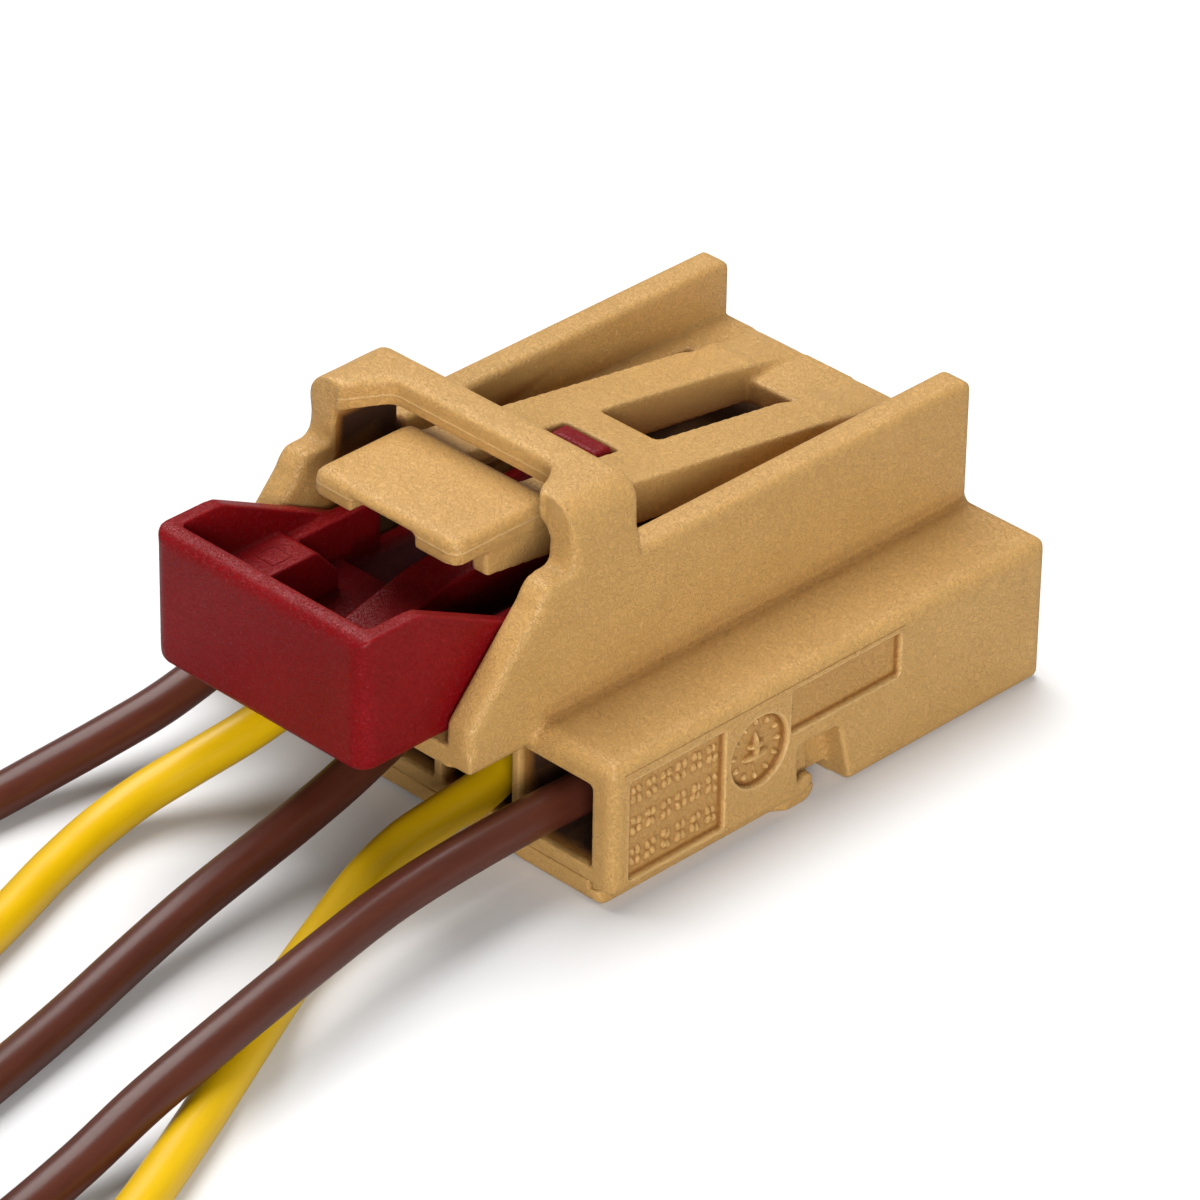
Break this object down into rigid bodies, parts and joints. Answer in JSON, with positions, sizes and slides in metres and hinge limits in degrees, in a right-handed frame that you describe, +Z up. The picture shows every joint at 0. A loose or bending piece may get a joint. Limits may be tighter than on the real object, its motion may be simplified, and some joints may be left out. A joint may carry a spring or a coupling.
{
  "type": "automotive cable connector",
  "caption": "Tail light plug connector: tan housing with press-down latch under a guard bridge, red sliding position lock, clip-in terminal retainer and crimped leads.",
  "frame": {"origin": "under the middle of the connector without its leads, on the surface it lies on", "axes": "+X across the row of contacts towards the side with the sunk panels, +Y the plugging direction, +Z up to the latch"},
  "size_m": [0.0357, 0.1204, 0.0178],
  "materials": {
    "tan_plastic": "fine spark-eroded grain",
    "red_plastic": "grained faces, smooth rim",
    "tinned_alloy": "tinned",
    "cage_steel": "bright rolled",
    "copper_strand": "stranded copper",
    "brown_lead": "satin insulation",
    "yellow_lead": "satin insulation"
  },
  "bodies": {
    "plug": {"housing": "tan_plastic", "contact_1": "tinned_alloy", "contact_2": "tinned_alloy", "contact_3": "tinned_alloy", "contact_4": "tinned_alloy", "contact_5": "tinned_alloy", "contact_cage_1": "cage_steel", "contact_cage_2": "cage_steel", "contact_cage_3": "cage_steel", "contact_cage_4": "cage_steel", "contact_cage_5": "cage_steel", "conductor_1": "copper_strand", "conductor_2": "copper_strand", "conductor_3": "copper_strand", "conductor_4": "copper_strand", "conductor_5": "copper_strand", "wire_1": "brown_lead", "wire_2": "yellow_lead", "wire_3": "brown_lead", "wire_4": "yellow_lead", "wire_5": "brown_lead"},
    "latch": {"latch_lever": "tan_plastic"},
    "lock": {"position_lock": "red_plastic", "lock_catch": "red_plastic"},
    "retainer": {"terminal_retainer": "tan_plastic"}
  },
  "joints": [
    {"name": "latch_press", "type": "hinge", "parent": "plug", "child": "latch", "pos_m": [0, 0.01445, 0.0109], "axis": [1, 0, 0], "range_deg": [0, 4], "stiffness_Nm_per_rad": 3.5},
    {"name": "lock_slide", "type": "slide", "parent": "plug", "child": "lock", "axis": [0, 1, 0], "range_m": [0, 0.002], "deforming": ["lock_catch"]},
    {"name": "retainer_slide", "type": "slide", "parent": "plug", "child": "retainer", "axis": [0, 0, -1], "range_m": [0, 0.0014]}
  ]
}
